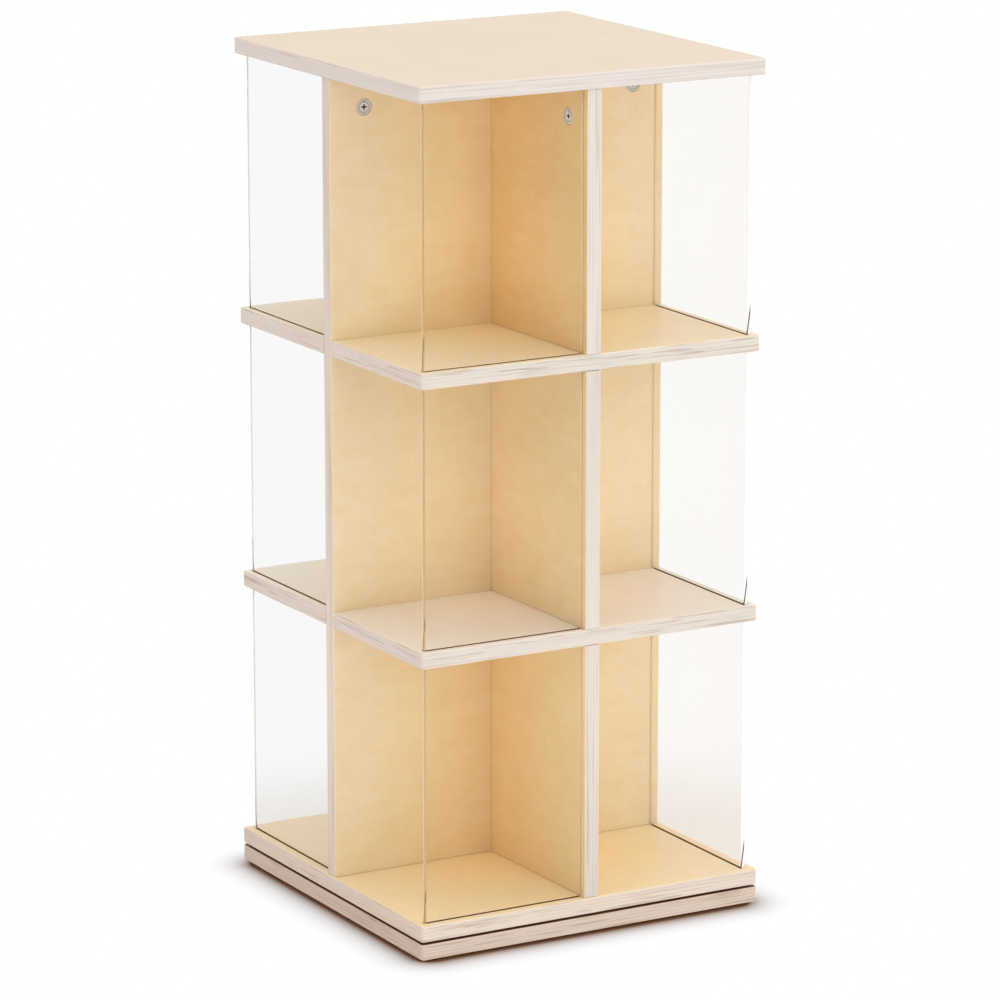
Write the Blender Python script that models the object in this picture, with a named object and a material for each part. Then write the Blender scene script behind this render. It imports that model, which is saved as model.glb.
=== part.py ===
"""Revolving bookcase: a square plywood tower that turns on a flat ball bearing over a square base.

Three tiers of four compartments stand round the turning axis. Each compartment is closed by a clear
pane on one outer side and open on the other, so the panes form a pinwheel. Units are metres and +Z is
up. The origin is on the floor under the turning axis, and the front of the bookcase faces -Y.
"""

import math

import bmesh
import bpy
from mathutils import Matrix, Vector

MM = 0.001

# Boards
PLY = 15 * MM  # thickness of every board
PANEL_SIDE = 360 * MM  # side of the square top, deck and base
BODY_SETBACK = 2 * MM  # shelves and dividers stand this far back from the top's edge
TIER_HEIGHT = 241.5 * MM  # clear height of one tier
TURNING_GAP = 2 * MM  # between the base and the turning deck
CORNER_RADIUS = 3 * MM  # round of a board's corners in plan
EDGE_RADIUS = 1 * MM  # eased outer edges
TIERS = ("bottom", "middle", "top")
SHELVES = ("lower", "upper")

# Clearances
SEAT = 0.3 * MM  # gap between pieces that touch
COVER = 4 * MM  # wood left between a blind hole and the board's far face

# Clear panes and their grooves
PANE_THICKNESS = 4 * MM
PANE_INSET = 7 * MM  # outer face, in from the shelf's edge
PANE_END = 6.5 * MM  # free end, in from the shelf's corner
PANE_EDGE = 0.4 * MM  # polished chamfer
GROOVE_DEPTH = 4 * MM
GROOVE_PLAY = 0.7 * MM  # gap on each side of a pane in its groove

# Cam locks and their bolts
CAM_DIAMETER = 15 * MM
CAM_FLOOR = 2.5 * MM  # wood left behind a cam
CAM_FROM_EDGE = 35.5 * MM  # centre, in from the divider's outer edge
CAM_DROP = 28.5 * MM  # centre, down from the top panel
CAM_RIM = 0.5 * MM  # chamfer round the cam's face
CAM_SLOT_LENGTH = 6 * MM  # cross recess
CAM_SLOT_WIDTH = 1.8 * MM
CAM_SLOT_DEPTH = 1.2 * MM
BOLT_DIAMETER = 6 * MM
BOLT_NECK_DIAMETER = 4 * MM
BOLT_NECK_LENGTH = 4 * MM
BOLT_HEAD_LENGTH = 3 * MM

# Dowels
DOWEL_DIAMETER = 8 * MM
DOWEL_BITE = 22 * MM  # how far a dowel reaches into the piece at each end
DOWEL_CHAMFER = 1 * MM
DOWEL_FROM_EDGE = 60 * MM  # centre, in from the shelf's outer edge

# Screws up through the deck into the dividers
DECK_SCREW_DIAMETER = 4.5 * MM
DECK_SCREW_HEAD = 9 * MM
DECK_SCREW_BITE = 30 * MM  # thread in the divider
DECK_SCREW_FROM_EDGE = 40 * MM

# Ball bearing, let into round pockets in the base and the deck
RACE_RADIUS = 50 * MM  # circle on which the balls run
RACE_DEPTH = 0.8 * MM
BALL_DIAMETER = 5 * MM
BALL_COUNT = 12
PLATE_THICKNESS = 2 * MM
PLATE_LIP = 5 * MM  # plate past the race on its free side
PLATE_FLANGE = 20 * MM  # plate past the race on its screwed side
CAGE_WIDTH = 7 * MM
CAGE_THICKNESS = 1.5 * MM
BEARING_SCREWS = 3  # to each plate
BEARING_SCREW_DIAMETER = 3.5 * MM
BEARING_SCREW_HEAD = 7 * MM
BEARING_SCREW_HEAD_HEIGHT = 1.8 * MM
SCREW_SLOT_LENGTH = 3.6 * MM  # cross recess in every screw head
SCREW_SLOT_WIDTH = 0.9 * MM
SCREW_SLOT_DEPTH = 1 * MM
ACCESS_DIAMETER = 12 * MM  # hole in the base through which the upper plate's screws are driven

# Glides under the base
GLIDE_HEIGHT = 3 * MM
GLIDE_DIAMETER = 20 * MM
GLIDE_CHAMFER = 1 * MM
GLIDE_FROM_EDGE = 25 * MM
NAIL_DIAMETER = 3 * MM

# Steps round a full circle, and along a rounded edge
FINE = 36
MEDIUM = 20
COARSE = 12
BALL_STEPS = 8
CORNER_STEPS = 4
EDGE_STEPS = 2
RACE_STEPS = 4
SHARP_ANGLE = math.radians(35)
HALF_TURN = math.pi
QUARTER_TURN = math.pi / 2

# Half widths, measured from the turning axis
PANEL_HALF = PANEL_SIDE / 2
BODY_HALF = PANEL_HALF - BODY_SETBACK
CORE = PLY / 2 + SEAT  # where a piece that butts against a divider's face begins

# Heights above the floor
BASE_BOTTOM = GLIDE_HEIGHT
BASE_TOP = BASE_BOTTOM + PLY
DECK_BOTTOM = BASE_TOP + TURNING_GAP
DECK_TOP = DECK_BOTTOM + PLY
TIER_PITCH = TIER_HEIGHT + PLY
TOP_BOTTOM = DECK_TOP + len(TIERS) * TIER_PITCH - PLY
DIVIDER_HEIGHT = TIER_HEIGHT - 2 * SEAT
MAIN_DIVIDER_HEIGHT = TOP_BOTTOM - DECK_TOP - 2 * SEAT

# Bearing sizes that follow from the ball
RACE_ARC = BALL_DIAMETER / 2 + SEAT
PLATE_GAP = 2 * (RACE_ARC - RACE_DEPTH)
POCKET_DEPTH = (2 * PLATE_THICKNESS + PLATE_GAP + 2 * SEAT - TURNING_GAP) / 2
BALL_LEVEL = BASE_TOP + TURNING_GAP / 2
LOWER_PLATE_RIM = RACE_RADIUS + PLATE_FLANGE
UPPER_PLATE_RIM = RACE_RADIUS + PLATE_LIP
SCREW_OFFSET = (PLATE_LIP + PLATE_FLANGE) / 2  # from the race to the middle of the free flange
BEARING_SCREW_BITE = PLY - POCKET_DEPTH - COVER
BOARD_BITE = PLY - COVER  # of a bolt or nail in a board's face

# Arms of the cross: direction from the axis, and turn of the face that holds the arm's cam
ARMS = {
    "left": (Vector((-1, 0, 0)), 0),
    "right": (Vector((1, 0, 0)), 0),
    "front": (Vector((0, -1, 0)), -QUARTER_TURN),
    "back": (Vector((0, 1, 0)), QUARTER_TURN),
}

# Turns about the axis that carry the front pane to each face, and a front piece to each side
PANE_TURNS = {"front": 0, "right": QUARTER_TURN, "back": HALF_TURN, "left": -QUARTER_TURN}
SIDE_TURNS = {"front": 0, "back": HALF_TURN}


# Scene, materials and objects


def clear_scene():
    for old in list(bpy.data.objects):
        bpy.data.objects.remove(old)


def surface(name, color, roughness, metallic=0.0, transmission=0.0):
    material = bpy.data.materials.new(name)
    material.use_nodes = True
    shader = material.node_tree.nodes["Principled BSDF"]
    shader.inputs["Base Color"].default_value = (*color, 1)
    shader.inputs["Roughness"].default_value = roughness
    shader.inputs["Metallic"].default_value = metallic
    shader.inputs["Transmission Weight"].default_value = transmission
    return material


def body_empty(name):
    """An empty on the turning axis, which carries the pieces of one rigid body."""
    empty = bpy.data.objects.new(name, None)
    bpy.context.collection.objects.link(empty)
    return empty


def place(name, mesh, material, body, location=(0, 0, 0), rotation=(0, 0, 0)):
    """One named piece of the bookcase, carried by its body."""
    if not mesh.materials:
        mesh.materials.append(material)
        mesh.shade_smooth()
        mesh.set_sharp_from_angle(angle=SHARP_ANGLE)
    piece = bpy.data.objects.new(name, mesh)
    bpy.context.collection.objects.link(piece)
    piece.parent = body
    piece.location = location
    piece.rotation_euler = rotation


# Solids


def to_mesh(solid):
    bmesh.ops.recalc_face_normals(solid, faces=solid.faces)
    mesh = bpy.data.meshes.new("solid")
    solid.to_mesh(mesh)
    solid.free()
    return mesh


def helper_object(solid):
    helper = bpy.data.objects.new("helper", to_mesh(solid))
    bpy.context.collection.objects.link(helper)
    return helper


def combine(operation, solid, *tools):
    """The mesh left by one Boolean after another. Shapes that meet each other come as separate tools."""
    kept = helper_object(solid)
    helpers = [kept]
    for tool in tools:
        helper = helper_object(tool)
        modifier = kept.modifiers.new("combine", "BOOLEAN")
        modifier.operation = operation
        modifier.solver = "EXACT"
        modifier.object = helper
        helpers.append(helper)
    graph = bpy.context.evaluated_depsgraph_get()
    mesh = bpy.data.meshes.new_from_object(kept.evaluated_get(graph))
    for helper in helpers:
        used = helper.data
        bpy.data.objects.remove(helper)
        bpy.data.meshes.remove(used)
    return mesh


def carve(solid, *tools):
    return combine("DIFFERENCE", solid, *tools)


def add_box(solid, low, high):
    low = Vector(low)
    high = Vector(high)
    matrix = Matrix.Translation((low + high) / 2) @ Matrix.Diagonal((*(high - low), 1))
    return bmesh.ops.create_cube(solid, size=1, matrix=matrix)["verts"]


def add_rod(solid, start, end, diameter, steps=COARSE):
    start = Vector(start)
    run = Vector(end) - start
    turn = Vector((0, 0, 1)).rotation_difference(run).to_matrix().to_4x4()
    bmesh.ops.create_cone(
        solid,
        cap_ends=True,
        segments=steps,
        radius1=diameter / 2,
        radius2=diameter / 2,
        depth=run.length,
        matrix=Matrix.Translation(start + run / 2) @ turn,
    )


def add_upright_rod(solid, spot, low, high, diameter, steps=COARSE):
    """A rod along Z over a spot in plan."""
    add_rod(solid, (spot.x, spot.y, low), (spot.x, spot.y, high), diameter, steps)


def add_turned(solid, profile, steps=COARSE, is_ring=False, spot=None):
    """A profile of (radius, height) points turned about Z. The profile of a ring closes on itself."""
    rows = []
    for radius, height in profile:
        count = steps if radius > 0 else 1
        row = []
        for step in range(count):
            angle = math.tau * step / steps
            row.append(solid.verts.new((radius * math.cos(angle), radius * math.sin(angle), height)))
        rows.append(row)
    pairs = list(zip(rows, rows[1:]))
    if is_ring:
        pairs.append((rows[-1], rows[0]))
    for first, second in pairs:
        for step in range(steps):
            ahead = step + 1
            corners = [first[step % len(first)], first[ahead % len(first)]]
            corners += [second[ahead % len(second)], second[step % len(second)]]
            solid.faces.new(dict.fromkeys(corners))
    if spot:
        bmesh.ops.translate(solid, verts=sum(rows, []), vec=spot)


def add_cross(solid, length, width, low, high):
    """An upright prism with a plus-shaped section, for a cross recess."""
    outline = []
    for quarter in range(4):
        turn = Matrix.Rotation(quarter * QUARTER_TURN, 3, "Z")
        for x, y in ((length / 2, -width / 2), (length / 2, width / 2), (width / 2, width / 2)):
            outline.append(solid.verts.new(turn @ Vector((x, y, low))))
    floor = solid.faces.new(outline)
    grown = bmesh.ops.extrude_face_region(solid, geom=[floor])
    roof = [part for part in grown["geom"] if isinstance(part, bmesh.types.BMVert)]
    bmesh.ops.translate(solid, verts=roof, vec=(0, 0, high - low))


def is_upright(edge):
    run = edge.verts[1].co - edge.verts[0].co
    return abs(run.z) > abs(run.x) + abs(run.y)


def middle_of(edge):
    return (edge.verts[0].co + edge.verts[1].co) / 2


def round_edges(solid, edges, radius, steps):
    bmesh.ops.bevel(
        solid,
        geom=edges,
        offset=radius,
        offset_type="OFFSET",
        segments=steps,
        profile=0.5,
        affect="EDGES",
    )


# Places that several pieces share


def tier_floor(index):
    return DECK_TOP + index * TIER_PITCH


def arm_spot(arm, from_edge):
    """Point on an arm's middle plane, this far in from the arm's outer edge."""
    return ARMS[arm][0] * (BODY_HALF - from_edge)


def level_dowel_spots():
    """Distances along X of the dowels that join the shelf halves through the main divider."""
    reach = BODY_HALF - DOWEL_FROM_EDGE
    return {"left": -reach, "right": reach}


def bearing_screw_spots(radius, start):
    spots = []
    for index in range(BEARING_SCREWS):
        angle = start + math.tau * index / BEARING_SCREWS
        spots.append(Vector((radius * math.cos(angle), radius * math.sin(angle), 0)))
    return spots


def lower_screw_spots():
    return bearing_screw_spots(RACE_RADIUS + SCREW_OFFSET, QUARTER_TURN)


def upper_screw_spots():
    return bearing_screw_spots(RACE_RADIUS - SCREW_OFFSET, -QUARTER_TURN)


def glide_spots():
    reach = PANEL_HALF - GLIDE_FROM_EDGE
    spots = {}
    for side, y in (("front", -reach), ("back", reach)):
        for hand, x in (("left", -reach), ("right", reach)):
            spots[f"{side}_{hand}"] = Vector((x, y, 0))
    return spots


def pane_outline(grow):
    """Low and high (x, y) corners of the front pane, grown by a clearance."""
    outer = -(BODY_HALF - PANE_INSET)
    low = (-(BODY_HALF - PANE_END) - grow, outer - grow)
    high = (-CORE + grow, outer + PANE_THICKNESS + grow)
    return low, high


def add_groove(tools, face, bottom, top):
    """Cutter for the groove of one face's pane, between two heights."""
    low, high = pane_outline(GROOVE_PLAY)
    corners = add_box(tools, (*low, bottom), (*high, top))
    turn = Matrix.Rotation(PANE_TURNS[face], 3, "Z")
    bmesh.ops.rotate(tools, verts=corners, cent=(0, 0, 0), matrix=turn)


# Boards


def flat_board(half, back):
    """A level board on z = 0, eased all round, but square along a back that stops short of its half."""
    solid = bmesh.new()
    add_box(solid, (-half, -half, 0), (half, back, PLY))

    def is_eased(edge):
        return back == half or middle_of(edge).y < back - SEAT

    corners = [edge for edge in solid.edges if is_upright(edge) and is_eased(edge)]
    round_edges(solid, corners, CORNER_RADIUS, CORNER_STEPS)
    rims = [edge for edge in solid.edges if not is_upright(edge) and is_eased(edge)]
    round_edges(solid, rims, EDGE_RADIUS, EDGE_STEPS)
    return solid


def top_panel():
    tools = bmesh.new()
    for face in PANE_TURNS:
        add_groove(tools, face, -PLY, GROOVE_DEPTH)
    bolt_hole = BOLT_DIAMETER + 2 * SEAT
    for arm in ARMS:
        add_upright_rod(tools, arm_spot(arm, CAM_FROM_EDGE), -PLY, BOARD_BITE + SEAT, bolt_hole)
    return carve(flat_board(PANEL_HALF, PANEL_HALF), tools)


def shelf():
    """The front half of a shelf, which ends at the main divider."""
    tools = bmesh.new()
    for face in ("front", "right"):
        add_groove(tools, face, -PLY, GROOVE_DEPTH)
        add_groove(tools, face, PLY - GROOVE_DEPTH, 2 * PLY)
    dowel_hole = DOWEL_DIAMETER + 2 * SEAT
    add_upright_rod(tools, arm_spot("front", DOWEL_FROM_EDGE), -PLY, 2 * PLY, dowel_hole)
    for x in level_dowel_spots().values():
        add_rod(tools, (x, 0, PLY / 2), (x, -PLY / 2 - DOWEL_BITE - SEAT, PLY / 2), dowel_hole)
    return carve(flat_board(BODY_HALF, -CORE), tools)


def deck_panel():
    tools = bmesh.new()
    for face in PANE_TURNS:
        add_groove(tools, face, PLY - GROOVE_DEPTH, 2 * PLY)
    head = DECK_SCREW_HEAD / 2 + SEAT
    shank = DECK_SCREW_DIAMETER / 2 + SEAT
    throat = SEAT + head - shank
    hole = ((0, -PLY), (head, -PLY), (head, SEAT), (shank, throat), (shank, 2 * PLY), (0, 2 * PLY))
    for arm in ARMS:
        add_turned(tools, hole, spot=arm_spot(arm, DECK_SCREW_FROM_EDGE))
    add_rod(tools, (0, 0, -PLY), (0, 0, POCKET_DEPTH), 2 * (UPPER_PLATE_RIM + SEAT), FINE)
    pilots = bmesh.new()
    for spot in upper_screw_spots():
        depth = POCKET_DEPTH + BEARING_SCREW_BITE + SEAT
        add_upright_rod(pilots, spot, 0, depth, BEARING_SCREW_DIAMETER + 2 * SEAT)
    return carve(flat_board(PANEL_HALF, PANEL_HALF), tools, pilots)


def base_panel():
    tools = bmesh.new()
    add_rod(tools, (0, 0, PLY - POCKET_DEPTH), (0, 0, 2 * PLY), 2 * (LOWER_PLATE_RIM + SEAT), FINE)
    for spot in glide_spots().values():
        add_upright_rod(tools, spot, -PLY, BOARD_BITE + SEAT, NAIL_DIAMETER + 2 * SEAT)
    pilots = bmesh.new()
    for spot in lower_screw_spots():
        depth = POCKET_DEPTH + BEARING_SCREW_BITE + SEAT
        add_upright_rod(pilots, spot, PLY - depth, PLY, BEARING_SCREW_DIAMETER + 2 * SEAT)
    add_upright_rod(pilots, upper_screw_spots()[0], -PLY, PLY, ACCESS_DIAMETER, MEDIUM)
    return carve(flat_board(PANEL_HALF, PANEL_HALF), tools, pilots)


def upright_board(low, high, is_outer):
    """An upright board on z = 0, eased along its outer upright edges."""
    solid = bmesh.new()
    add_box(solid, low, high)
    edges = [edge for edge in solid.edges if is_upright(edge) and is_outer(middle_of(edge))]
    round_edges(solid, edges, EDGE_RADIUS, EDGE_STEPS)
    return solid


def add_cam_bore(bores, bolt_holes, arm, height):
    """Cutters for an arm's cam and for the bolt that reaches it from the divider's upper end."""
    outward = Matrix.Rotation(ARMS[arm][1], 3, "Z") @ Vector((0, -1, 0))
    centre = arm_spot(arm, CAM_FROM_EDGE)
    centre.z = height + SEAT - CAM_DROP
    floor = centre - outward * (PLY / 2 - CAM_FLOOR)
    add_rod(bores, floor, centre + outward * PLY, CAM_DIAMETER + 2 * SEAT, MEDIUM)
    add_upright_rod(bolt_holes, centre, centre.z, height + PLY, BOLT_DIAMETER + 2 * SEAT)


def add_deck_screw_hole(tools, arm):
    depth = DECK_SCREW_BITE + SEAT
    add_upright_rod(tools, arm_spot(arm, DECK_SCREW_FROM_EDGE), -PLY, depth, DECK_SCREW_DIAMETER + 2 * SEAT)


def cross_divider(tier):
    """The front divider of one tier."""
    low = (-PLY / 2, -BODY_HALF, 0)
    high = (PLY / 2, -CORE, DIVIDER_HEIGHT)
    board = upright_board(low, high, lambda point: point.y < -CORE - SEAT)
    ends = bmesh.new()
    bores = bmesh.new()
    spot = arm_spot("front", DOWEL_FROM_EDGE)
    depth = DOWEL_BITE + SEAT
    if tier == TIERS[0]:
        add_deck_screw_hole(ends, "front")
    else:
        add_upright_rod(ends, spot, -PLY, depth, DOWEL_DIAMETER + 2 * SEAT)
    if tier == TIERS[-1]:
        add_cam_bore(bores, ends, "front", DIVIDER_HEIGHT)
        return carve(board, ends, bores)
    add_upright_rod(ends, spot, DIVIDER_HEIGHT - depth, DIVIDER_HEIGHT + PLY, DOWEL_DIAMETER + 2 * SEAT)
    return carve(board, ends)


def main_divider():
    low = (-BODY_HALF, -PLY / 2, 0)
    high = (BODY_HALF, PLY / 2, MAIN_DIVIDER_HEIGHT)
    board = upright_board(low, high, lambda point: True)
    holes = bmesh.new()
    bores = bmesh.new()
    for arm in ("left", "right"):
        add_deck_screw_hole(holes, arm)
        add_cam_bore(bores, holes, arm, MAIN_DIVIDER_HEIGHT)
    for level in range(len(SHELVES)):
        height = tier_floor(level + 1) - PLY / 2 - DECK_TOP - SEAT
        for x in level_dowel_spots().values():
            add_rod(holes, (x, -PLY, height), (x, PLY, height), DOWEL_DIAMETER + 2 * SEAT)
    return carve(board, holes, bores)


# Panes and fittings


def pane():
    """The front pane, from the floor of its lower groove on z = 0."""
    solid = bmesh.new()
    low, high = pane_outline(0)
    height = TIER_HEIGHT + 2 * (GROOVE_DEPTH - SEAT)
    add_box(solid, (*low, 0), (*high, height))
    round_edges(solid, solid.edges[:], PANE_EDGE, 1)
    return to_mesh(solid)


def cam():
    """A cam with its face on z = 0 looking up and its bolt hole open towards +Y."""
    radius = CAM_DIAMETER / 2
    depth = PLY - CAM_FLOOR - SEAT
    body = bmesh.new()
    profile = ((0, -depth), (radius, -depth), (radius, -CAM_RIM), (radius - CAM_RIM, 0), (0, 0))
    add_turned(body, profile, MEDIUM)
    tools = bmesh.new()
    add_cross(tools, CAM_SLOT_LENGTH, CAM_SLOT_WIDTH, -CAM_SLOT_DEPTH, CAM_SLOT_DEPTH)
    hollow = -BOLT_HEAD_LENGTH / 2 - SEAT
    add_rod(tools, (0, hollow, -PLY / 2), (0, CAM_DIAMETER, -PLY / 2), BOLT_DIAMETER + 2 * SEAT)
    return carve(body, tools)


def bolt():
    """A cam bolt, upright, with the middle of its head on z = 0."""
    shank = BOLT_DIAMETER / 2
    neck = BOLT_NECK_DIAMETER / 2
    head = BOLT_HEAD_LENGTH / 2
    tip = CAM_DROP + BOARD_BITE
    neck_end = head + BOLT_NECK_LENGTH
    solid = bmesh.new()
    profile = ((0, -head), (shank, -head), (shank, head), (neck, head), (neck, neck_end), (shank, neck_end))
    add_turned(solid, profile + ((shank, tip), (0, tip)))
    return to_mesh(solid)


def dowel():
    """A dowel along Z, centred on z = 0, which passes through one board and bites at both ends."""
    radius = DOWEL_DIAMETER / 2
    half = PLY / 2 + DOWEL_BITE
    shoulder = half - DOWEL_CHAMFER
    tip = radius - DOWEL_CHAMFER
    solid = bmesh.new()
    lower = ((0, -half), (tip, -half), (radius, -shoulder))
    upper = ((radius, shoulder), (tip, half), (0, half))
    add_turned(solid, lower + upper)
    return to_mesh(solid)


def screw(profile, top):
    """A turned screw with a cross recess in its head, whose top is at this height."""
    body = bmesh.new()
    add_turned(body, profile)
    recess = bmesh.new()
    add_cross(recess, SCREW_SLOT_LENGTH, SCREW_SLOT_WIDTH, top - SCREW_SLOT_DEPTH, top + SCREW_SLOT_DEPTH)
    return carve(body, recess)


def deck_screw():
    """A countersunk screw that points down, with the top of its head on z = 0."""
    head = DECK_SCREW_HEAD / 2
    shank = DECK_SCREW_DIAMETER / 2
    length = PLY + DECK_SCREW_BITE - SEAT
    taper = shank - length
    return screw(((0, -length), (shank, taper), (shank, shank - head), (head, 0), (0, 0)), 0)


def bearing_screw():
    """A pan-head screw that points down, with the underside of its head on z = 0."""
    head = BEARING_SCREW_HEAD / 2
    shank = BEARING_SCREW_DIAMETER / 2
    rise = BEARING_SCREW_HEAD_HEIGHT
    length = 2 * SEAT + PLATE_THICKNESS + BEARING_SCREW_BITE
    crown = head - rise / 2
    thread = ((0, -length), (shank, shank - length), (shank, 0))
    return screw(thread + ((head, 0), (head, rise / 2), (crown, rise), (0, rise)), rise)


def bearing_plate(inner, outer, screw_spots):
    """A flat ring with its race on z = 0 looking up."""
    profile = [(inner, -PLATE_THICKNESS), (outer, -PLATE_THICKNESS), (outer, 0)]
    half_angle = math.acos(1 - RACE_DEPTH / RACE_ARC)
    for step in range(RACE_STEPS + 1):
        angle = half_angle * (1 - 2 * step / RACE_STEPS)
        drop = RACE_ARC * math.cos(angle) - RACE_ARC + RACE_DEPTH
        profile.append((RACE_RADIUS + RACE_ARC * math.sin(angle), -drop))
    profile.append((inner, 0))
    ring = bmesh.new()
    add_turned(ring, profile, FINE, is_ring=True)
    holes = bmesh.new()
    for spot in screw_spots:
        add_upright_rod(holes, spot, -PLY, PLY, BEARING_SCREW_DIAMETER + 2 * SEAT)
    return carve(ring, holes)


def ball_ring():
    """The balls held in their cage, centred on z = 0."""
    inner = RACE_RADIUS - CAGE_WIDTH / 2
    outer = RACE_RADIUS + CAGE_WIDTH / 2
    half = CAGE_THICKNESS / 2
    cage = bmesh.new()
    add_turned(cage, ((inner, -half), (outer, -half), (outer, half), (inner, half)), FINE, is_ring=True)
    balls = bmesh.new()
    for index in range(BALL_COUNT):
        turn = Matrix.Rotation(math.tau * index / BALL_COUNT, 4, "Z")
        bmesh.ops.create_uvsphere(
            balls,
            u_segments=BALL_STEPS,
            v_segments=BALL_STEPS - 2,
            radius=BALL_DIAMETER / 2,
            matrix=turn @ Matrix.Translation((RACE_RADIUS, 0, 0)),
        )
    return combine("UNION", cage, balls)


def glide():
    """A nailed glide that stands on z = 0."""
    radius = GLIDE_DIAMETER / 2
    nail = NAIL_DIAMETER / 2
    top = GLIDE_HEIGHT - SEAT
    tip = GLIDE_HEIGHT + BOARD_BITE
    solid = bmesh.new()
    profile = ((0, 0), (radius - GLIDE_CHAMFER, 0), (radius, GLIDE_CHAMFER), (radius, top), (nail, top))
    add_turned(solid, profile + ((nail, tip - nail), (0, tip)), MEDIUM)
    return to_mesh(solid)


# Assembly


def build_base(body, birch, steel, nylon):
    place("base_panel", base_panel(), birch, body, (0, 0, BASE_BOTTOM))
    plate_top = BALL_LEVEL - PLATE_GAP / 2
    plate = bearing_plate(RACE_RADIUS - PLATE_LIP, LOWER_PLATE_RIM, lower_screw_spots())
    place("bearing_lower_plate", plate, steel, body, (0, 0, plate_top))
    screw_mesh = bearing_screw()
    for number, spot in enumerate(lower_screw_spots(), 1):
        place(f"bearing_lower_screw_{number}", screw_mesh, steel, body, (spot.x, spot.y, plate_top + SEAT))
    glide_mesh = glide()
    for corner, spot in glide_spots().items():
        place(f"glide_{corner}", glide_mesh, nylon, body, spot)


def build_tower_boards(body, birch):
    place("deck_panel", deck_panel(), birch, body, (0, 0, DECK_BOTTOM))
    place("main_divider", main_divider(), birch, body, (0, 0, DECK_TOP + SEAT))
    place("top_panel", top_panel(), birch, body, (0, 0, TOP_BOTTOM))
    for index, tier in enumerate(TIERS):
        divider_mesh = cross_divider(tier)
        for side, turn in SIDE_TURNS.items():
            location = (0, 0, tier_floor(index) + SEAT)
            place(f"{side}_divider_{tier}", divider_mesh, birch, body, location, (0, 0, turn))
    shelf_mesh = shelf()
    for index, level in enumerate(SHELVES):
        for side, turn in SIDE_TURNS.items():
            location = (0, 0, tier_floor(index + 1) - PLY)
            place(f"{level}_shelf_{side}", shelf_mesh, birch, body, location, (0, 0, turn))


def build_panes(body, acrylic):
    pane_mesh = pane()
    for index, tier in enumerate(TIERS):
        for face, turn in PANE_TURNS.items():
            location = (0, 0, tier_floor(index) - GROOVE_DEPTH + SEAT)
            place(f"{face}_pane_{tier}", pane_mesh, acrylic, body, location, (0, 0, turn))


def build_top_fixings(body, zinc, steel):
    cam_mesh = cam()
    bolt_mesh = bolt()
    for arm, (direction, turn) in ARMS.items():
        centre = arm_spot(arm, CAM_FROM_EDGE)
        centre.z = TOP_BOTTOM - CAM_DROP
        outward = Matrix.Rotation(turn, 3, "Z") @ Vector((0, -1, 0))
        place(f"cam_{arm}", cam_mesh, zinc, body, centre + outward * PLY / 2, (QUARTER_TURN, 0, turn))
        place(f"cam_bolt_{arm}", bolt_mesh, steel, body, centre)


def build_shelf_dowels(body, beech):
    dowel_mesh = dowel()
    level_turn = (QUARTER_TURN, 0, 0)
    for index, level in enumerate(SHELVES):
        height = tier_floor(index + 1) - PLY / 2
        for side in SIDE_TURNS:
            spot = arm_spot(side, DOWEL_FROM_EDGE)
            place(f"{level}_upright_dowel_{side}", dowel_mesh, beech, body, (spot.x, spot.y, height))
        for hand, x in level_dowel_spots().items():
            place(f"{level}_level_dowel_{hand}", dowel_mesh, beech, body, (x, 0, height), level_turn)


def build_deck_fixings(body, steel):
    head_down = (HALF_TURN, 0, 0)
    deck_screw_mesh = deck_screw()
    for arm in ARMS:
        spot = arm_spot(arm, DECK_SCREW_FROM_EDGE)
        location = (spot.x, spot.y, DECK_BOTTOM + SEAT)
        place(f"deck_screw_{arm}", deck_screw_mesh, steel, body, location, head_down)
    plate_bottom = BALL_LEVEL + PLATE_GAP / 2
    flipped = [Vector((spot.x, -spot.y, 0)) for spot in upper_screw_spots()]
    plate = bearing_plate(RACE_RADIUS - PLATE_FLANGE, UPPER_PLATE_RIM, flipped)
    place("bearing_upper_plate", plate, steel, body, (0, 0, plate_bottom), head_down)
    screw_mesh = bearing_screw()
    for number, spot in enumerate(upper_screw_spots(), 1):
        location = (spot.x, spot.y, plate_bottom - SEAT)
        place(f"bearing_upper_screw_{number}", screw_mesh, steel, body, location, head_down)


def main():
    clear_scene()
    birch = surface("birch_plywood", (0.83, 0.63, 0.38), 0.45)
    acrylic = surface("clear_acrylic", (0.97, 0.98, 0.98), 0.03, transmission=1.0)
    zinc = surface("nickel_plated_zinc", (0.56, 0.54, 0.51), 0.35, metallic=1.0)
    steel = surface("zinc_plated_steel", (0.62, 0.62, 0.63), 0.3, metallic=1.0)
    nylon = surface("black_nylon", (0.03, 0.03, 0.03), 0.5)
    beech = surface("beech_dowel", (0.67, 0.45, 0.26), 0.6)
    base = body_empty("base_body")
    tower = body_empty("tower_body")
    balls = body_empty("ball_ring_body")
    build_base(base, birch, steel, nylon)
    place("ball_ring", ball_ring(), steel, balls, (0, 0, BALL_LEVEL))
    build_tower_boards(tower, birch)
    build_panes(tower, acrylic)
    build_top_fixings(tower, zinc, steel)
    build_shelf_dowels(tower, beech)
    build_deck_fixings(tower, steel)


main()
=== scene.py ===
"""Looks of the revolving bookcase: lacquered birch plywood, clear acrylic panes and small metal fittings.

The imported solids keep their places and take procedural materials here. The panes are modelled again with
sanded ends, and the cam locks with full faces. A white floor, soft studio light and a long lens complete
the picture.
"""

import math

import bmesh
import bpy
from mathutils import Matrix, Vector


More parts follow.
